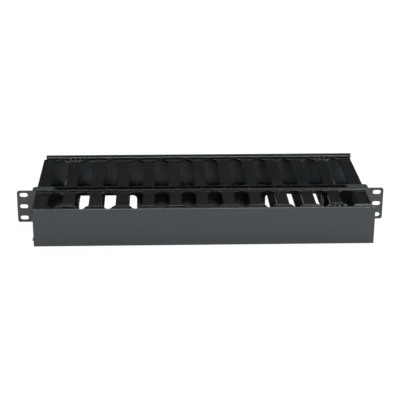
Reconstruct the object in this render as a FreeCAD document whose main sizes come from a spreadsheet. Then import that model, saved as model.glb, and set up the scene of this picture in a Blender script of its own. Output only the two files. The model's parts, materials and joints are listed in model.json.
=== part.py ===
import FreeCAD, Part

import math
import os
import re

import Sketcher

# Horizontal cable manager for a 19 inch rack, one rack unit, with a duct in front and a duct behind.
# Frame: millimetres, +X to the right seen from the front, -Y to the front, +Z up.
# Origin: middle of the rack mounting plane, which is the back face of the ears.

SIZES = [
    ("ear_span", 482.6, "width over the rack ears"),
    ("ear_height", 43.7, "height of the rack ears"),
    ("ear_corner", 3.0, "corner radius of the ears"),
    ("panel_thickness", 1.5, "sheet steel"),
    ("panel_middle_height", 44.4, "height of the panel between the ears"),
    ("duct_width", 431.8, "length of both ducts along X"),
    ("panel_middle_extra", 0.2, "panel middle past the ducts, both ends together"),
    ("panel_middle_width", "=duct_width + panel_middle_extra", "width of the panel's taller middle"),
    ("slot_inset", 8.75, "middle of a slot to the end of its ear"),
    ("slot_spacing_x", "=ear_span - 2 * slot_inset", "left to right slot spacing, 465.1"),
    ("slot_spacing_z", 15.875, "slot pitch of one rack unit"),
    ("slot_length", 10.7, "slot, along X"),
    ("slot_height", 5.8, "slot, along Z"),
    ("window_width", 77.0, "pass-through opening, along X"),
    ("window_height", 30.0, "pass-through opening, along Z"),
    ("window_corner", 5.0, "corner radius of the pass-through openings"),
    ("tab_width", 27.0, "bent tab, along X"),
    ("tab_overhang", 5.1, "bent tab past the end of the ducts"),
    ("tab_outer", "=duct_width / 2 + tab_overhang", "outer end of a bent tab, from the centre"),
    ("tab_inner", "=tab_outer - tab_width", "inner end of a bent tab, from the centre"),
    ("tab_corner", 4.0, "rounded outer corner of a bent tab"),
    ("finger_face", 20.3, "outer face of the fingers, from the middle height"),
    ("wall", 2.6, "wall of the finger plates"),
    ("back_wall", 1.8, "back wall of both ducts"),
    ("gap_count", 12, "gaps in each finger row"),
    ("end_finger_extra", 19.0, "both end fingers together, past half a pitch at each gap"),
    ("finger_pitch", "=(duct_width - end_finger_extra) / gap_count", "spacing of the fingers, 34.4"),
    ("clip_finger", 5, "fingers from the middle one to the one with clips and screws"),
    ("window_margin", 10.5, "pass-through opening to the line of the screws"),
    ("window_middle", "=clip_finger * finger_pitch - window_margin - window_width / 2", "from the centre"),
    ("gap_width", 18.4, "gap between two fingers"),
    ("gap_corner", 5.0, "radius in the closed end of a gap"),
    ("gap_root", 1.8, "closed end of a gap to the duct's back wall"),
    ("notch_width", 4.5, "way in between two finger tips"),
    ("wing_slope", 7.0, "length along Y of a tip's sloped shoulder"),
    ("gap_chamfer", 0.7, "broken outer edges of the gaps"),
    ("ramp_length", 0.9, "sloped foot of the fingers, along Y"),
    ("ramp_height", 1.5, "sloped foot of the fingers, along Z"),
    ("step_depth", 1.8, "step down at the tip of a front finger"),
    ("step_length", 18.3, "stepped part of a front finger's tip"),
    ("step_slope", 1.2, "slope of the step, along Y"),
    ("front_reach", 73.5, "tip of the front fingers, from the mounting plane"),
    ("front_tip", 15.2, "length of a front finger's tip past its shoulders"),
    ("rear_offset", 13.5, "front face of the rear duct's back wall"),
    ("rear_reach", 128.6, "tip of the rear fingers, from the mounting plane"),
    ("rear_tip", 3.3, "length of a rear finger's tip past its shoulders"),
    ("rear_ramp_height", 0.8, "sloped foot of the rear fingers, along Z"),
    ("rear_step_length", 1.6, "stepped part of a rear finger's tip"),
    ("rear_step_depth", 0.8, "step down at the tip of a rear finger"),
    ("rear_step_slope", 0.4, "slope of the step, along Y"),
    ("recess_width", 13.2, "recess in the end fingers, along X"),
    ("recess_margin", 2.5, "rim beside the recess"),
    ("recess_depth", 1.0, "depth of the recess"),
    ("front_recess_near", 10.5, "front recess, from the mounting plane"),
    ("front_recess_length", 42.0, "front recess, along Y"),
    ("rear_recess_near", 64.0, "rear recess, from the mounting plane"),
    ("rear_recess_length", 56.0, "rear recess, along Y"),
    ("lug_width", 2.2, "spacing lug of the rear duct, along X"),
    ("lug_height", 1.8, "spacing lug of the rear duct, along Z"),
    ("cover_inset", 0.4, "end of a cover inside the end of its duct"),
    ("cover_length", "=duct_width - 2 * cover_inset", "both covers, along X"),
    ("cover_half_height", 24.7, "half the height of a cover"),
    ("cover_thickness", 1.8, "wall of the covers"),
    ("cover_gap", 2.7, "finger tips to the inner face of a cover"),
    ("cover_lip", 3.2, "depth of a cover's turned lips"),
    ("cover_rounding", 0.7, "rounded long edges of the covers"),
    ("front_cover_shift", 1.4, "side play of the front cover, taken up to the right"),
    ("rear_cover_shift", 2.5, "side play of the rear cover, taken up to the right"),
    ("rail_radius", 1.1, "round hinge rail on the inside of a cover"),
    ("rail_lift", 0.3, "air between a finger and the hinge rail"),
    ("rail_setback", 4.0, "hinge rail to the inner face of a cover"),
    ("rail_web", 0.9, "web between a cover and its hinge rail"),
    ("hinge_fit", 0.1, "running fit between hook and hinge rail"),
    ("hook_wall", 1.0, "wall of a hinge hook"),
    ("hook_rib", 1.5, "width of one hook"),
    ("hook_pitch", 6.5, "spacing of the three hooks of a clip"),
    ("hook_end_angle", 130.0, "open end of a hook, from the outward direction"),
    ("hook_heel_angle", 235.0, "heel of a hook, from the outward direction"),
    ("hook_crown_angle", 165.0, "top of a hook's rib, from the outward direction"),
    ("clip_base_width", 15.4, "base strip of a hinge clip, along X"),
    ("clip_base_length", 7.0, "base strip of a hinge clip, along Y"),
    ("clip_base_height", 0.8, "base strip of a hinge clip, along Z"),
    ("front_clip_length", 23.0, "front clips, from the hinge line inwards"),
    ("rear_clip_length", 14.0, "rear clips, from the hinge line inwards"),
    ("peg_width", 2.8, "square locating peg of a hinge clip"),
    ("peg_clearance", 0.1, "peg in its hole, on each side"),
    ("screw_spacing_z", 24.0, "vertical spacing of the assembly screws"),
    ("screw_radius", 2.0, "shank of the assembly screws"),
    ("screw_clearance", 0.2, "screw in its holes, on the radius"),
    ("head_radius", 4.0, "pan head"),
    ("head_height", 2.4, "pan head"),
    ("screw_end", 1.0, "screw past its nut"),
    ("nut_width", 7.0, "hexagon nut, across flats"),
    ("nut_height", 3.0, "hexagon nut"),
    ("spacer_radius", 4.0, "tube between panel and rear duct"),
]

# Points nearer than SAME_PLACE are one point, and an edge is matched to a size within MATCH (both mm).
SAME_PLACE = 1e-6
MATCH = 0.01

# Middle of each spacing lug, from the centre of the rear duct, as a share of the duct's length.
LUG_SHARES = (-0.445, -0.287, -0.148, -0.073, 0, 0.073, 0.148, 0.227, 0.347, 0.445)

doc = FreeCAD.newDocument("horizontal_cable_manager")
sheet = doc.addObject("Spreadsheet::Sheet", "Sizes")
for row, (alias, value, note) in enumerate(SIZES, 1):
    sheet.set(f"A{row}", alias)
    sheet.set(f"B{row}", str(value))
    sheet.setAlias(f"B{row}", alias)
    sheet.set(f"C{row}", note)
doc.recompute()

ALIASES = {alias for alias, value, note in SIZES}


def formula(text):
    """The expression for a size, with the sheet's name before each alias."""
    return re.sub(r"[a-z_]+", lambda word: "Sizes." * (word[0] in ALIASES) + word[0], str(text))


def size(text):
    """The present value of an expression of sizes, in millimetres."""
    return float(sheet.evalExpression(formula(text)))


def new_body(label):
    body = doc.addObject("PartDesign::Body", label)
    body.Label = label
    return body


def origin_plane(body, role):
    return next(item for item in body.Origin.OriginFeatures if item.Role == role)


def new_sketch(body, name, role, offset="0"):
    """A sketch on one of the body's origin planes, or parallel to it."""
    sketch = body.newObject("Sketcher::SketchObject", name)
    sketch.AttachmentSupport = [(origin_plane(body, role), "")]
    sketch.MapMode = "FlatFace"
    sketch.setExpression("AttachmentOffset.Base.z", formula(offset))
    return sketch


def locate(sketch, geometry, end, across, up):
    """Dimension a point of the sketch from its origin."""
    for kind, axis, text in (("DistanceX", -2, across), ("DistanceY", -1, up)):
        value = size(text)
        if abs(value) < SAME_PLACE:
            sketch.addConstraint(Sketcher.Constraint("PointOnObject", geometry, end, axis))
            continue
        number = sketch.addConstraint(Sketcher.Constraint(kind, -1, 1, geometry, end, value))
        sketch.setExpression(f"Constraints[{number}]", formula(text))


def draw_outline(sketch, corners):
    """A closed outline through corners (across, up) or (across, up, radius) given as expressions."""
    points = [FreeCAD.Vector(size(corner[0]), size(corner[1]), 0) for corner in corners]
    radii = [corner[2] if len(corner) > 2 else None for corner in corners]
    count = len(points)
    entries = []
    exits = []
    for index in range(count):
        point = points[index]
        to_last = (points[index - 1] - point).normalize()
        to_next = (points[(index + 1) % count] - point).normalize()
        trim = size(radii[index]) / math.tan(to_last.getAngle(to_next) / 2) if radii[index] else 0
        entries.append(point + to_last * trim)
        exits.append(point + to_next * trim)
    lines = []
    for index in range(count):
        segment = Part.LineSegment(exits[index], entries[(index + 1) % count])
        lines.append(sketch.addGeometry(segment, False))
    for index in range(count):
        before = lines[index - 1]
        after = lines[index]
        if not radii[index]:
            sketch.addConstraint(Sketcher.Constraint("Coincident", before, 2, after, 1))
            locate(sketch, after, 1, corners[index][0], corners[index][1])
            continue
        draw_corner(sketch, before, after, points[index], entries[index], exits[index], corners[index])


def draw_corner(sketch, before, after, point, entry, leave, corner):
    """A tangent arc between two lines of an outline, with the sharp corner as a construction point."""
    to_middle = ((entry - point) + (leave - point)).normalize()
    radius = size(corner[2])
    centre = point + to_middle * math.hypot(radius, (entry - point).Length)
    middle = centre - to_middle * radius
    arc = sketch.addGeometry(Part.Arc(entry, middle, leave), False)
    first = 1 if (sketch.getPoint(arc, 1) - entry).Length < SAME_PLACE else 2
    marker = sketch.addGeometry(Part.Point(point), True)
    locate(sketch, marker, 1, corner[0], corner[1])
    sketch.addConstraint(Sketcher.Constraint("PointOnObject", marker, 1, before))
    sketch.addConstraint(Sketcher.Constraint("PointOnObject", marker, 1, after))
    sketch.addConstraint(Sketcher.Constraint("Tangent", before, 2, arc, first))
    sketch.addConstraint(Sketcher.Constraint("Tangent", arc, 3 - first, after, 1))
    number = sketch.addConstraint(Sketcher.Constraint("Radius", arc, radius))
    sketch.setExpression(f"Constraints[{number}]", formula(corner[2]))


def draw_rectangle(sketch, across, up, width, height, radius=None):
    """A rectangle about its middle, with rounded corners where a radius is given."""
    corners = []
    for side, level in ((-1, -1), (1, -1), (1, 1), (-1, 1)):
        corner = (f"{across} + {side} * ({width}) / 2", f"{up} + {level} * ({height}) / 2")
        corners.append(corner + (radius,) if radius else corner)
    draw_outline(sketch, corners)


def draw_circle(sketch, across, up, radius):
    centre = FreeCAD.Vector(size(across), size(up), 0)
    circle = sketch.addGeometry(Part.Circle(centre, FreeCAD.Vector(0, 0, 1), size(radius)), False)
    locate(sketch, circle, 3, across, up)
    number = sketch.addConstraint(Sketcher.Constraint("Radius", circle, size(radius)))
    sketch.setExpression(f"Constraints[{number}]", formula(radius))


def draw_slot(sketch, across, up, length, height):
    """A slot with round ends, lying along the sketch's first axis."""
    middle_x = size(across)
    middle_y = size(up)
    radius = size(height) / 2
    reach = (size(length) - size(height)) / 2
    left = FreeCAD.Vector(middle_x - reach, middle_y, 0)
    right = FreeCAD.Vector(middle_x + reach, middle_y, 0)
    rise = FreeCAD.Vector(0, radius, 0)
    side = FreeCAD.Vector(radius, 0, 0)
    top = sketch.addGeometry(Part.LineSegment(right + rise, left + rise), False)
    left_arc = sketch.addGeometry(Part.Arc(left + rise, left - side, left - rise), False)
    bottom = sketch.addGeometry(Part.LineSegment(left - rise, right - rise), False)
    right_arc = sketch.addGeometry(Part.Arc(right - rise, right + side, right + rise), False)
    sketch.addConstraint(Sketcher.Constraint("Tangent", top, 2, left_arc, 1))
    sketch.addConstraint(Sketcher.Constraint("Tangent", left_arc, 2, bottom, 1))
    sketch.addConstraint(Sketcher.Constraint("Tangent", bottom, 2, right_arc, 1))
    sketch.addConstraint(Sketcher.Constraint("Tangent", right_arc, 2, top, 1))
    locate(sketch, left_arc, 3, f"{across} - ({length} - {height}) / 2", up)
    locate(sketch, right_arc, 3, f"{across} + ({length} - {height}) / 2", up)
    number = sketch.addConstraint(Sketcher.Constraint("Radius", left_arc, radius))
    sketch.setExpression(f"Constraints[{number}]", formula(f"{height} / 2"))


def pad(body, sketch, name, length, symmetric=False, backwards=False):
    feature = body.newObject("PartDesign::Pad", name)
    feature.Profile = sketch
    feature.setExpression("Length", formula(length))
    feature.SideType = "Symmetric" if symmetric else "One side"
    feature.Reversed = backwards
    doc.recompute()
    return feature


def pocket(body, sketch, name, length=None, backwards=False):
    """A cut of the given depth, or right through on both sides of the sketch."""
    before = body.Shape.Volume
    feature = body.newObject("PartDesign::Pocket", name)
    feature.Profile = sketch
    if length:
        feature.setExpression("Length", formula(length))
        feature.Reversed = backwards
    else:
        feature.Type = "ThroughAll"
        feature.SideType = "Two sides"
        feature.Type2 = "ThroughAll"
    doc.recompute()
    if body.Shape.Volume > before - MATCH:
        raise RuntimeError(f"{name} cut nothing")
    return feature


def pattern(body, original, sketch, name, axis, spacing, count):
    """Copies of a feature along one axis of its sketch."""
    feature = body.newObject("PartDesign::LinearPattern", name)
    feature.Originals = [original]
    feature.Direction = (sketch, [axis])
    feature.Mode = "Spacing"
    feature.setExpression("Offset", formula(spacing))
    feature.Occurrences = int(size(count))
    body.Tip = feature
    doc.recompute()
    return feature


def dress_edges(body, kind, name, key, text, wanted):
    """A fillet or chamfer on the edges of the body's present shape for which wanted(edge) holds."""
    base = body.Tip
    edges = [f"Edge{number}" for number, edge in enumerate(base.Shape.Edges, 1) if wanted(edge)]
    feature = body.newObject(kind, name)
    feature.Base = (base, edges)
    feature.setExpression(key, formula(text))
    doc.recompute()
    return feature


def put(body, place, turn=None):
    """Set a finished body in the assembly: a place and a half turn about one axis."""
    rotation = FreeCAD.Rotation(turn, 180) if turn else FreeCAD.Rotation()
    body.Placement = FreeCAD.Placement(place, rotation)


# Places that several pieces share.
FRONT_RAIL = "0 - front_reach - cover_gap + rail_setback"
REAR_RAIL = "rear_reach + cover_gap - rail_setback"
RAIL_LEVEL = "finger_face + rail_lift + rail_radius"
SCREW_COLUMNS = ("0 - clip_finger * finger_pitch", "clip_finger * finger_pitch")
SCREW_LEVELS = ("0 - screw_spacing_z / 2", "screw_spacing_z / 2")
SCREW_HOLE = "screw_radius + screw_clearance"


def cut_screw_holes(body, role="XZ_Plane"):
    sketch = new_sketch(body, body.Name + "_screw_sketch", role)
    for column in SCREW_COLUMNS:
        for level in SCREW_LEVELS:
            draw_circle(sketch, column, level, SCREW_HOLE)
    return sketch


def build_rack_panel():
    """Sheet steel panel with slotted ears, two pass-through openings and four bent tabs."""
    body = new_body("rack_panel")
    plate = new_sketch(body, "plate_outline", "XZ_Plane")
    ear_x = "ear_span / 2"
    ear_z = "ear_height / 2"
    mid_x = "panel_middle_width / 2"
    mid_z = "panel_middle_height / 2"
    draw_outline(plate, [
        (f"0 - {ear_x}", f"0 - {ear_z}", "ear_corner"), (f"0 - {mid_x}", f"0 - {ear_z}"),
        (f"0 - {mid_x}", f"0 - {mid_z}"), (mid_x, f"0 - {mid_z}"),
        (mid_x, f"0 - {ear_z}"), (ear_x, f"0 - {ear_z}", "ear_corner"),
        (ear_x, ear_z, "ear_corner"), (mid_x, ear_z),
        (mid_x, mid_z), (f"0 - {mid_x}", mid_z),
        (f"0 - {mid_x}", ear_z), (f"0 - {ear_x}", ear_z, "ear_corner"),
    ])
    pad(body, plate, "plate", "panel_thickness")
    slots = new_sketch(body, "slot_outlines", "XZ_Plane")
    for side in (-1, 1):
        for level in (-1, 0, 1):
            draw_slot(slots, f"{side} * slot_spacing_x / 2", f"{level} * slot_spacing_z",
                      "slot_length", "slot_height")
    pocket(body, slots, "slots")
    windows = new_sketch(body, "window_outlines", "XZ_Plane")
    for side in (-1, 1):
        draw_rectangle(windows, f"{side} * window_middle", "0", "window_width", "window_height",
                       "window_corner")
    pocket(body, windows, "windows")
    pocket(body, cut_screw_holes(body), "screw_holes")
    for level, side in ((1, -1), (1, 1), (-1, -1), (-1, 1)):
        name = ("upper" if level > 0 else "lower") + ("_left" if side < 0 else "_right")
        tab = new_sketch(body, f"{name}_tab_outline", "XY_Plane", f"{level} * ear_height / 2")
        draw_outline(tab, [
            (f"{side} * tab_inner", "0 - panel_thickness"), (f"{side} * tab_outer", "0 - panel_thickness"),
            (f"{side} * tab_outer", "rear_offset", "tab_corner"), (f"{side} * tab_inner", "rear_offset"),
        ])
        pad(body, tab, f"{name}_tab", "panel_thickness", backwards=level > 0)
    return body


def channel_outline(facing, start, reach, ramp_height, step):
    """Cross-section of a duct: a back wall with sloped feet and two stepped finger plates."""
    tip = f"{facing} * {reach}"
    step_top = f"{facing} * ({reach} - {step}_length)"
    step_foot = f"{facing} * ({reach} - {step}_length + {step}_slope)"
    inside = f"{facing} * ({start} + back_wall)"
    ramp = f"{facing} * ({start} + back_wall + ramp_length)"
    back = f"{facing} * {start}"
    upper = [
        (inside, "finger_face - wall"), (tip, "finger_face - wall"), (tip, f"finger_face - {step}_depth"),
        (step_foot, f"finger_face - {step}_depth"), (step_top, "finger_face"), (ramp, "finger_face"),
        (inside, f"finger_face + {ramp_height}"), (back, f"finger_face + {ramp_height}"),
    ]
    lower = [(across, f"0 - ({up})") for across, up in reversed(upper)]
    return upper + lower


def build_duct(label, facing, start, reach, tip, ramp_height, step, recess, clip_length, rail):
    """Moulded duct: one back wall with an upper and a lower row of T-tipped fingers."""
    body = new_body(label)
    section = new_sketch(body, label + "_section", "YZ_Plane")
    draw_outline(section, channel_outline(facing, start, reach, ramp_height, step))
    pad(body, section, label + "_channel", "duct_width", symmetric=True)

    # One gap, cut through both finger rows at once and repeated along the duct.
    # It has a closed end with round corners, sloped shoulders and a narrow way in between two tips.
    gap = new_sketch(body, label + "_gap_outline", "XY_Plane")
    middle = "0 - (gap_count - 1) / 2 * finger_pitch"
    root = f"{facing} * ({start} + back_wall + gap_root)"
    slope_start = f"{facing} * ({reach} - {tip} - wing_slope)"
    slope_end = f"{facing} * ({reach} - {tip})"
    open_end = f"{facing} * ({reach} + 1)"
    left = f"{middle} - gap_width / 2"
    right = f"{middle} + gap_width / 2"
    corners = [
        (left, root, "gap_corner"), (left, slope_start), (f"{middle} - notch_width / 2", slope_end),
        (f"{middle} - notch_width / 2", open_end), (f"{middle} + notch_width / 2", open_end),
        (f"{middle} + notch_width / 2", slope_end), (right, slope_start), (right, root, "gap_corner"),
    ]
    draw_outline(gap, corners)
    first_gap = pocket(body, gap, label + "_gap")
    pattern(body, first_gap, gap, label + "_gaps", "H_Axis", "finger_pitch", "gap_count")

    # Broken outer edges of the gaps on both finger faces.
    face_z = size("finger_face")
    shoulder = abs(size(slope_end)) + MATCH
    wall_end = abs(size(root)) - MATCH
    ends = size("duct_width") / 2 - MATCH

    def on_finger_face(edge):
        box = edge.BoundBox
        flat = abs(abs(box.ZMin) - face_z) < MATCH and abs(box.ZMax - box.ZMin) < MATCH
        far = max(abs(box.YMin), abs(box.YMax))
        near = min(abs(box.YMin), abs(box.YMax))
        inside = max(abs(box.XMin), abs(box.XMax)) < ends
        return flat and inside and near > wall_end and far < shoulder

    dress_edges(body, "PartDesign::Chamfer", label + "_gap_chamfers", "Size", "gap_chamfer", on_finger_face)

    window_offset = f"0 - {facing} * ({start} + back_wall / 2)"
    windows = new_sketch(body, label + "_window_outlines", "XZ_Plane", window_offset)
    for side in (-1, 1):
        draw_rectangle(windows, f"{side} * window_middle", "0", "window_width", "window_height",
                       "window_corner")
    pocket(body, windows, label + "_windows")
    pocket(body, cut_screw_holes(body), label + "_screw_holes")

    pegs = new_sketch(body, label + "_peg_outlines", "XY_Plane")
    for side in (-1, 1):
        draw_rectangle(pegs, f"{side} * clip_finger * finger_pitch",
                       f"{rail} - {facing} * ({clip_length} - clip_base_length / 2)",
                       "peg_width + 2 * peg_clearance", "peg_width + 2 * peg_clearance")
    pocket(body, pegs, label + "_peg_holes")

    for level in (1, -1):
        name = label + ("_upper_recess" if level > 0 else "_lower_recess")
        recesses = new_sketch(body, name + "_outlines", "XY_Plane", f"{level} * finger_face")
        for side in (-1, 1):
            draw_rectangle(recesses, f"{side} * (duct_width / 2 - recess_margin - recess_width / 2)",
                           f"{facing} * ({recess}_near + {recess}_length / 2)",
                           "recess_width", f"{recess}_length")
        pocket(body, recesses, name, "recess_depth", backwards=level < 0)
    return body


def build_cover(label, facing, reach, shift):
    """Extruded cover: a plate with turned lips and a round hinge rail on a web near each long edge."""
    body = new_body(label)
    inner = f"{facing} * ({reach} + cover_gap)"
    outer = f"{facing} * ({reach} + cover_gap + cover_thickness)"
    lip = f"{facing} * ({reach} + cover_gap + cover_thickness - cover_lip)"
    rail = f"{facing} * ({reach} + cover_gap - rail_setback)"
    top = "cover_half_height"
    half = [
        (inner, f"{RAIL_LEVEL} - rail_web / 2"), (rail, f"{RAIL_LEVEL} - rail_web / 2"),
        (rail, f"{RAIL_LEVEL} + rail_web / 2"), (inner, f"{RAIL_LEVEL} + rail_web / 2"),
        (inner, f"{top} - cover_thickness"), (lip, f"{top} - cover_thickness"),
        (lip, top), (outer, top),
    ]
    section = new_sketch(body, label + "_section", "YZ_Plane")
    draw_outline(section, half + [(across, f"0 - ({up})") for across, up in reversed(half)])
    pad(body, section, label + "_plate", "cover_length", symmetric=True)
    rails = new_sketch(body, label + "_rail_outlines", "YZ_Plane")
    draw_circle(rails, rail, RAIL_LEVEL, "rail_radius")
    draw_circle(rails, rail, f"0 - ({RAIL_LEVEL})", "rail_radius")
    pad(body, rails, label + "_rails", "cover_length", symmetric=True)
    outer_y = size(outer)
    top_z = size(top)

    def is_long_edge(edge):
        box = edge.BoundBox
        long_enough = box.XMax - box.XMin > size("cover_length") - MATCH
        return long_enough and abs(box.YMin - outer_y) < MATCH and abs(abs(box.ZMin) - top_z) < MATCH

    dress_edges(body, "PartDesign::Fillet", label + "_rounding", "Radius", "cover_rounding", is_long_edge)
    put(body, FreeCAD.Vector(size(shift), 0, 0))
    return body


def build_clip(label, length, rail, facing, level, side):
    """Hinge clip: a base strip with a peg in the finger and three hooks around the cover's rail.

    Modelled for the front, upper place with the rail's axis through the origin, then turned into place.
    """
    body = new_body(label)
    floor = "0 - rail_radius - rail_lift"
    inner = "rail_radius + hinge_fit"
    outer = "rail_radius + hinge_fit + hook_wall"
    hook = new_sketch(body, label + "_hook_outline", "YZ_Plane", "0 - hook_pitch")
    draw_hook(hook, inner, outer, floor, length)
    first = pad(body, hook, label + "_hook", "hook_rib", symmetric=True)
    pattern(body, first, hook, label + "_hooks", "N_Axis", "hook_pitch", "3")
    strip = new_sketch(body, label + "_strip_outline", "XY_Plane", floor)
    draw_rectangle(strip, "0", f"{length} - clip_base_length / 2", "clip_base_width", "clip_base_length")
    pad(body, strip, label + "_strip", "clip_base_height")
    peg = new_sketch(body, label + "_peg_outline", "XY_Plane", floor)
    draw_rectangle(peg, "0", f"{length} - clip_base_length / 2", "peg_width", "peg_width")
    pad(body, peg, label + "_peg", "wall", backwards=True)
    place = FreeCAD.Vector(side * size("clip_finger * finger_pitch"), size(rail), level * size(RAIL_LEVEL))
    turns = {(-1, 1): None, (-1, -1): FreeCAD.Vector(0, 1, 0),
             (1, 1): FreeCAD.Vector(0, 0, 1), (1, -1): FreeCAD.Vector(1, 0, 0)}
    put(body, place, turns[(facing, level)])
    return body


def draw_hook(sketch, inner, outer, floor, length):
    """One hook: an arc around the rail that runs out into a tapering rib on the finger."""
    open_angle = "hook_end_angle"
    heel_angle = "hook_heel_angle"

    def polar(radius, angle):
        return f"0 - ({radius}) * cos({angle} * 1deg)", f"({radius}) * sin({angle} * 1deg)"

    def vector(place):
        return FreeCAD.Vector(size(place[0]), size(place[1]), 0)

    heel = polar(inner, heel_angle)
    mouth_inner = polar(inner, open_angle)
    mouth_outer = polar(outer, open_angle)
    crown = polar(outer, "hook_crown_angle")
    centre = FreeCAD.Vector(0, 0, 0)
    places = [mouth_inner, heel, (heel[0], floor), (length, floor),
              (length, f"{floor} + clip_base_height"), crown, mouth_outer]
    points = [vector(place) for place in places]
    bore = Part.Arc(points[0], vector(polar(inner, "(hook_end_angle + hook_heel_angle) / 2")), points[1])
    bore_arc = sketch.addGeometry(bore, False)
    chain = []
    for first in (1, 2, 3, 4):
        chain.append(sketch.addGeometry(Part.LineSegment(points[first], points[first + 1]), False))
    back = Part.Arc(points[5], vector(polar(outer, "(hook_end_angle + hook_crown_angle) / 2")), points[6])
    back_arc = sketch.addGeometry(back, False)
    mouth = sketch.addGeometry(Part.LineSegment(points[6], points[0]), False)
    sketch.addConstraint(Sketcher.Constraint("Coincident", bore_arc, 3, -1, 1))
    sketch.addConstraint(Sketcher.Constraint("Coincident", back_arc, 3, -1, 1))

    def join_to_arc(line, end, arc, point):
        """Tie a line's end to the end of the arc that lies at the same point."""
        arc_end = 1 if (sketch.getPoint(arc, 1) - point).Length < SAME_PLACE else 2
        sketch.addConstraint(Sketcher.Constraint("Coincident", line, end, arc, arc_end))

    join_to_arc(chain[0], 1, bore_arc, points[1])
    for before, after in zip(chain, chain[1:]):
        sketch.addConstraint(Sketcher.Constraint("Coincident", before, 2, after, 1))
    join_to_arc(chain[-1], 2, back_arc, points[5])
    join_to_arc(mouth, 1, back_arc, points[6])
    join_to_arc(mouth, 2, bore_arc, points[0])
    locate(sketch, mouth, 2, *mouth_inner)
    locate(sketch, mouth, 1, *mouth_outer)
    for line, place in zip(chain[1:], places[2:]):
        locate(sketch, line, 1, *place)
    heel_x = sketch.addConstraint(Sketcher.Constraint("DistanceX", -1, 1, chain[0], 1, points[1].x))
    sketch.setExpression(f"Constraints[{heel_x}]", formula(heel[0]))
    crown_y = sketch.addConstraint(Sketcher.Constraint("DistanceY", -1, 1, chain[-1], 2, points[5].y))
    sketch.setExpression(f"Constraints[{crown_y}]", formula(crown[1]))


def bound_primitive(kind, name, sizes, place, turn=None):
    """A Part primitive whose sizes follow the sheet."""
    feature = doc.addObject(kind, name)
    for key, text in sizes.items():
        feature.setExpression(key, formula(text))
    feature.Placement = FreeCAD.Placement(place, turn or FreeCAD.Rotation())
    return feature


def screw_places():
    return [(size(column), size(level)) for column in SCREW_COLUMNS for level in SCREW_LEVELS]


# Turns a primitive's own +Z to the rear, along +Y.
TO_REAR = FreeCAD.Rotation(FreeCAD.Vector(1, 0, 0), -90)


def build_screws():
    """Pan-head screws through the front duct, the panel, the spacers and the rear duct."""
    head_y = 0 - size("panel_thickness + back_wall")
    pieces = []
    for number, (x, z) in enumerate(screw_places()):
        shank = bound_primitive(
            "Part::Cylinder", f"screw_shank_{number}",
            {"Radius": "screw_radius",
             "Height": "panel_thickness + rear_offset + 2 * back_wall + nut_height + screw_end"},
            FreeCAD.Vector(x, head_y, z), TO_REAR)
        head = bound_primitive(
            "Part::Cone", f"screw_head_{number}",
            {"Radius1": "head_radius * 0.7", "Radius2": "head_radius", "Height": "head_height"},
            FreeCAD.Vector(x, head_y - size("head_height"), z), TO_REAR)
        screw = doc.addObject("Part::Fuse", f"screw_{number}")
        screw.Base = shank
        screw.Tool = head
        pieces.append(screw)
    return join("duct_screws", pieces)


def build_nuts():
    pieces = []
    seat_y = size("rear_offset + back_wall")
    for number, (x, z) in enumerate(screw_places()):
        place = FreeCAD.Vector(x, seat_y, z)
        hexagon = bound_primitive("Part::Prism", f"nut_hexagon_{number}",
                                  {"Circumradius": "nut_width / 2 / cos(30deg)", "Height": "nut_height"},
                                  place, TO_REAR)
        hexagon.Polygon = 6
        bore = bound_primitive("Part::Cylinder", f"nut_bore_{number}",
                               {"Radius": "screw_radius", "Height": "nut_height"}, place, TO_REAR)
        nut = doc.addObject("Part::Cut", f"nut_{number}")
        nut.Base = hexagon
        nut.Tool = bore
        pieces.append(nut)
    return join("duct_nuts", pieces)


def build_spacers():
    pieces = []
    for number, (x, z) in enumerate(screw_places()):
        place = FreeCAD.Vector(x, 0, z)
        tube = bound_primitive("Part::Cylinder", f"spacer_tube_{number}",
                               {"Radius": "spacer_radius", "Height": "rear_offset"}, place, TO_REAR)
        bore = bound_primitive("Part::Cylinder", f"spacer_bore_{number}",
                               {"Radius": SCREW_HOLE, "Height": "rear_offset"}, place, TO_REAR)
        spacer = doc.addObject("Part::Cut", f"spacer_{number}")
        spacer.Base = tube
        spacer.Tool = bore
        pieces.append(spacer)
    return join("duct_spacers", pieces)


def build_lugs():
    """Small lugs along the rear duct's upper and lower edge that space it from the panel."""
    pieces = []
    for level, low_z in (("upper", "finger_face - lug_height"), ("lower", "0 - finger_face")):
        for number, share in enumerate(LUG_SHARES):
            place = FreeCAD.Vector(size(f"{share} * duct_width - lug_width / 2"), 0, size(low_z))
            pieces.append(bound_primitive(
                "Part::Box", f"{level}_lug_{number}",
                {"Length": "lug_width", "Width": "rear_offset", "Height": "lug_height"}, place))
    return join("rear_duct_lugs", pieces)


def join(label, pieces):
    """Like fasteners in one sub-part, each still a solid of its own."""
    group = doc.addObject("Part::Compound", label)
    group.Links = pieces
    group.Label = label
    return group


sub_parts = [build_rack_panel()]
sub_parts.append(build_duct("front_duct", -1, "panel_thickness", "front_reach", "front_tip", "ramp_height",
                            "step", "front_recess", "front_clip_length", FRONT_RAIL))
sub_parts.append(build_duct("rear_duct", 1, "rear_offset", "rear_reach", "rear_tip", "rear_ramp_height",
                            "rear_step", "rear_recess", "rear_clip_length", REAR_RAIL))
sub_parts.append(build_lugs())
sub_parts.append(build_cover("front_cover", -1, "front_reach", "front_cover_shift"))
sub_parts.append(build_cover("rear_cover", 1, "rear_reach", "rear_cover_shift"))
for facing, end, clip_length, rail in ((-1, "front", "front_clip_length", FRONT_RAIL),
                                       (1, "rear", "rear_clip_length", REAR_RAIL)):
    for level, height in ((1, "upper"), (-1, "lower")):
        for side, hand in ((-1, "left"), (1, "right")):
            clip_label = f"{end}_{height}_{hand}_clip"
            sub_parts.append(build_clip(clip_label, clip_length, rail, facing, level, side))
sub_parts.append(build_screws())
sub_parts.append(build_spacers())
sub_parts.append(build_nuts())

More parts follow.
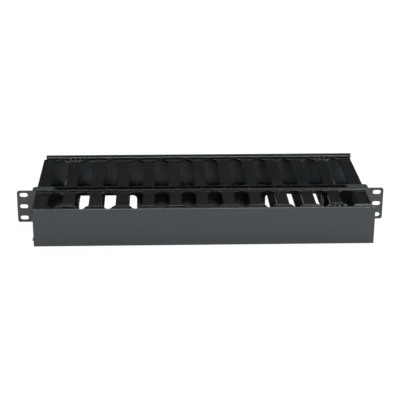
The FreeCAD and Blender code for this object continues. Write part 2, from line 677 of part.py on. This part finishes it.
doc.recompute()
for item in doc.Objects:
    if "Invalid" in item.State or "Error" in item.State:
        raise RuntimeError(f"{item.Name} failed: {item.State}")

os.makedirs("parts", exist_ok=True)
for sub_part in sub_parts:
    shape = sub_part.Shape
    if shape.isNull() or not shape.isValid():
        raise RuntimeError(f"{sub_part.Label} has no valid shape")
    shape.exportStep(f"parts/{sub_part.Label}.step")
    print(sub_part.Label, len(shape.Solids), "solid(s)", round(shape.Volume, 1), "mm3")
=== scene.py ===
import json
import math

import bpy
from mathutils import Matrix, Vector


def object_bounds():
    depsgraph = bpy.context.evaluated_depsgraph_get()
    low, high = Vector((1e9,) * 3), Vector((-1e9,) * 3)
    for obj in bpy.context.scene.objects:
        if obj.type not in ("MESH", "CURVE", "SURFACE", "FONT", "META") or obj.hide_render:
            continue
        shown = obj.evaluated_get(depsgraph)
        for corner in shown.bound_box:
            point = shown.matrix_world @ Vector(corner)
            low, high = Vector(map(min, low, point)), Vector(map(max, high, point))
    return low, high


# Looks of the horizontal cable manager: dark grey covers, black moulded finger ducts and a
# powder-coated steel panel, on a white ground. Metres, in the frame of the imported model.

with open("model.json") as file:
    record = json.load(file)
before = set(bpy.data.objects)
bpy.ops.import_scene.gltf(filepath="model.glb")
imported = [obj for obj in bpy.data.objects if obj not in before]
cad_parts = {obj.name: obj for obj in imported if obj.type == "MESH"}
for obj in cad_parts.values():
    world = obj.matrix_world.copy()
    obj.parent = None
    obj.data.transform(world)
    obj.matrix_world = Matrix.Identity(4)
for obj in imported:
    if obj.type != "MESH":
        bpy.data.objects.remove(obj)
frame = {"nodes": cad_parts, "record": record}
cad_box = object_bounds()

MM = 0.001
WHITE = (1.0, 1.0, 1.0, 1.0)


# ---------------------------------------------------------------------------
# Camera: in front, a little to the left and above, with a long lens
# ---------------------------------------------------------------------------

CAMERA_PLACE = Vector((-61.6, -1464.8, 573.2)) * MM
CAMERA_YAW = math.radians(-2.35)
CAMERA_DOWN = math.radians(21.14)
CAMERA_ROLL = math.radians(0.34)
LENS = 107.2
SENSOR = 36.0
CLIP_START = 0.05
CLIP_END = 50


def add_camera():
    """The camera at the photograph's angle, turned by its yaw, its dip and a slight roll."""
    ahead = Vector((
        -math.sin(CAMERA_YAW) * math.cos(CAMERA_DOWN),
        math.cos(CAMERA_YAW) * math.cos(CAMERA_DOWN),
        -math.sin(CAMERA_DOWN),
    ))
    level = Vector((math.cos(CAMERA_YAW), math.sin(CAMERA_YAW), 0))
    above = level.cross(ahead)
    right = level * math.cos(CAMERA_ROLL) + above * math.sin(CAMERA_ROLL)
    up = above * math.cos(CAMERA_ROLL) - level * math.sin(CAMERA_ROLL)
    data = bpy.data.cameras.new("camera")
    data.lens = LENS
    data.sensor_width = SENSOR
    data.clip_start = CLIP_START
    data.clip_end = CLIP_END
    camera = bpy.data.objects.new("camera", data)
    turn = Matrix((right, up, -ahead)).transposed().to_4x4()
    camera.matrix_world = Matrix.Translation(CAMERA_PLACE) @ turn
    bpy.context.collection.objects.link(camera)
    bpy.context.scene.camera = camera


# ---------------------------------------------------------------------------
# Materials
# ---------------------------------------------------------------------------

# Soft clouds blend the two tones, a fine grain raises the surface, and patches vary the gloss.
CLOUD = {"Scale": 14.0, "Detail": 5.0, "Roughness": 0.62}
CLOUD_RANGE = (0.32, 0.68)
GRAIN = {"Detail": 3.0, "Roughness": 0.6}
GRAIN_STRENGTH = 0.35
WEAR = {"Scale": 30.0, "Detail": 3.0, "Roughness": 0.6}
WEAR_RANGE = (0.3, 0.7)
GLOSS_SPREAD = 0.02
EDGE_SAMPLES = 6

# One finish for each material slot of the record. Grain is a noise scale; its depth and the
# rounding of the edges are in millimetres.
FINISHES = {
    "panel_paint": dict(
        name="powder_coat", low=(0.026, 0.0298, 0.0318), high=(0.03, 0.0345, 0.037),
        roughness=0.22, grain=2600, grain_depth=0.012, specular=0.7,
    ),
    "duct_plastic": dict(
        name="moulded_black", low=(0.005, 0.0056, 0.006), high=(0.0065, 0.0073, 0.0078),
        roughness=0.17, grain=1500, grain_depth=0.005,
    ),
    "cover_plastic": dict(
        name="extruded_grey", low=(0.036, 0.044, 0.048), high=(0.039, 0.0475, 0.052),
        roughness=0.24, grain=1900, grain_depth=0.006, edge=0.9, specular=0.5,
    ),
    "clip_plastic": dict(
        name="glossy_nylon", low=(0.014, 0.0155, 0.0165), high=(0.018, 0.02, 0.021),
        roughness=0.2, grain=1500, grain_depth=0.005, edge=0.5, specular=0.9,
    ),
    "screw_steel": dict(
        name="black_oxide", low=(0.02, 0.02, 0.022), high=(0.03, 0.03, 0.032),
        roughness=0.4, grain=1500, grain_depth=0.02,
    ),
}


class Nodes:
    """Short names for making and joining the shader nodes of a material or of the world."""

    def __init__(self, owner, output):
        owner.use_nodes = True
        self.tree = owner.node_tree
        self.tree.nodes.clear()
        self.output = self.add(output)

    def add(self, kind, inputs=None, **settings):
        node = self.tree.nodes.new(kind)
        for key, value in settings.items():
            setattr(node, key, value)
        for key, value in (inputs or {}).items():
            if isinstance(value, bpy.types.NodeSocket):
                self.tree.links.new(value, node.inputs[key])
            else:
                node.inputs[key].default_value = value
        return node

    def show(self, shader):
        self.tree.links.new(shader.outputs[0], self.output.inputs["Surface"])


def moulded(name, low, high, roughness, grain, grain_depth, edge=0.4, specular=0.5):
    """A dark plastic or paint: colour between two close tones, fine grain and rounded edges."""
    material = bpy.data.materials.new(name)
    nodes = Nodes(material, "ShaderNodeOutputMaterial")
    place = nodes.add("ShaderNodeTexCoord").outputs["Object"]
    cloud = nodes.add("ShaderNodeTexNoise", {"Vector": place, **CLOUD})
    tone = nodes.add("ShaderNodeValToRGB", {"Fac": cloud.outputs["Fac"]})
    for stop, position, colour in zip(tone.color_ramp.elements, CLOUD_RANGE, (low, high)):
        stop.position = position
        stop.color = (*colour, 1)
    fine = nodes.add("ShaderNodeTexNoise", {"Vector": place, "Scale": grain, **GRAIN})
    wear = nodes.add("ShaderNodeTexNoise", {"Vector": place, **WEAR})
    gloss = nodes.add("ShaderNodeMapRange", {
        "Value": wear.outputs["Fac"], "From Min": WEAR_RANGE[0], "From Max": WEAR_RANGE[1],
        "To Min": roughness - GLOSS_SPREAD, "To Max": roughness + GLOSS_SPREAD,
    })
    round_edge = nodes.add("ShaderNodeBevel", {"Radius": edge * MM}, samples=EDGE_SAMPLES)
    bump = nodes.add("ShaderNodeBump", {
        "Strength": GRAIN_STRENGTH, "Distance": grain_depth * MM,
        "Height": fine.outputs["Fac"], "Normal": round_edge.outputs["Normal"],
    })
    nodes.show(nodes.add("ShaderNodeBsdfPrincipled", {
        "Base Color": tone.outputs["Color"], "Roughness": gloss.outputs["Result"],
        "Specular IOR Level": specular, "Normal": bump.outputs["Normal"],
    }))
    return material


def finish_nodes():
    """Each node of the model gets the material of what it is made of."""
    materials = {slot: moulded(**finish) for slot, finish in FINISHES.items()}
    for part in frame["record"]["subparts"]:
        node = frame["nodes"][part["node"]]
        node.data.materials.clear()
        node.data.materials.append(materials[part["material_slot"]])
        for face in node.data.polygons:
            face.material_index = 0


# ---------------------------------------------------------------------------
# Ground, surroundings and light
# ---------------------------------------------------------------------------

FLOOR_HALF = 6.0
FLOOR_COLOUR = (0.9, 0.9, 0.9, 1)
FLOOR_GLOW = 1.06
FLOOR_SHADOW = 0.1
# Share of its own glow that the floor shows in glossy surfaces: before the object, behind its
# panel, and the stretch of Y, at the panel, over which the first fades into the second.
GLOW_AHEAD = 0.88
GLOW_BEHIND = 0.0
GLOW_FADE = (-0.02, 0.03)
WORLD_SEEN = 1.0
WORLD_LIGHT = 0.02
# Place, width, height and watts of the two lamps. They are wide and high, so that the glossy
# plastic mirrors them softly.
LAMPS = {
    "front_softbox": ((1.8, -1.55, 1.8), 2.8, 1.6, 66),
    "overhead_softbox": ((0.0, 1.0, 1.5), 1.6, 0.9, 48),
}
LAMP_AIM = Vector((0, 0, 0))


def add_floor():
    """A white floor at the object's lowest point, which shows a faint shadow."""
    lowest = cad_box[0][2]
    half = FLOOR_HALF
    sides = ((-half, -half), (half, -half), (half, half), (-half, half))
    corners = [(x, y, lowest) for x, y in sides]
    mesh = bpy.data.meshes.new("floor")
    mesh.from_pydata(corners, [], [(0, 1, 2, 3)])
    floor = bpy.data.objects.new("floor", mesh)
    bpy.context.collection.objects.link(floor)
    material = bpy.data.materials.new("white_floor")
    nodes = Nodes(material, "ShaderNodeOutputMaterial")
    matt = nodes.add("ShaderNodeBsdfDiffuse", {"Color": FLOOR_COLOUR})
    glow = nodes.add("ShaderNodeEmission", {"Color": WHITE, "Strength": FLOOR_GLOW})
    path = nodes.add("ShaderNodeLightPath")
    place = nodes.add("ShaderNodeNewGeometry").outputs["Position"]
    across = nodes.add("ShaderNodeSeparateXYZ", {"Vector": place})
    fade = nodes.add("ShaderNodeMapRange", {
        "Value": across.outputs["Y"], "From Min": GLOW_FADE[0], "From Max": GLOW_FADE[1],
        "To Min": GLOW_AHEAD, "To Max": GLOW_BEHIND,
    })
    mirrored = nodes.add("ShaderNodeMath", {
        0: path.outputs["Is Glossy Ray"], 1: fade.outputs["Result"],
    }, operation="MULTIPLY")
    direct = nodes.add("ShaderNodeMath", {
        0: path.outputs["Is Camera Ray"], 1: 1 - FLOOR_SHADOW,
    }, operation="MULTIPLY")
    share = nodes.add("ShaderNodeMath", {
        0: mirrored.outputs[0], 1: direct.outputs[0],
    }, operation="MAXIMUM")
    nodes.show(nodes.add("ShaderNodeMixShader", {
        0: share.outputs[0], 1: matt.outputs[0], 2: glow.outputs[0],
    }))
    mesh.materials.append(material)


def add_world():
    """White to the camera, a dim even grey for the light on the object."""
    world = bpy.data.worlds.new("surroundings")
    bpy.context.scene.world = world
    nodes = Nodes(world, "ShaderNodeOutputWorld")
    path = nodes.add("ShaderNodeLightPath")
    seen = nodes.add("ShaderNodeBackground", {"Color": WHITE, "Strength": WORLD_SEEN})
    unseen = nodes.add("ShaderNodeBackground", {"Color": WHITE, "Strength": WORLD_LIGHT})
    nodes.show(nodes.add("ShaderNodeMixShader", {
        0: path.outputs["Is Camera Ray"], 1: unseen.outputs[0], 2: seen.outputs[0],
    }))


def add_lamps():
    """Rectangular area lamps that face the middle of the object."""
    for name, (place, width, height, watts) in LAMPS.items():
        data = bpy.data.lights.new(name, "AREA")
        data.shape = "RECTANGLE"
        data.size = width
        data.size_y = height
        data.energy = watts
        lamp = bpy.data.objects.new(name, data)
        lamp.location = place
        lamp.rotation_euler = (LAMP_AIM - Vector(place)).to_track_quat("-Z", "Y").to_euler()
        bpy.context.collection.objects.link(lamp)


add_camera()
finish_nodes()
add_floor()
add_world()
add_lamps()
bpy.context.scene.view_settings.view_transform = "Standard"
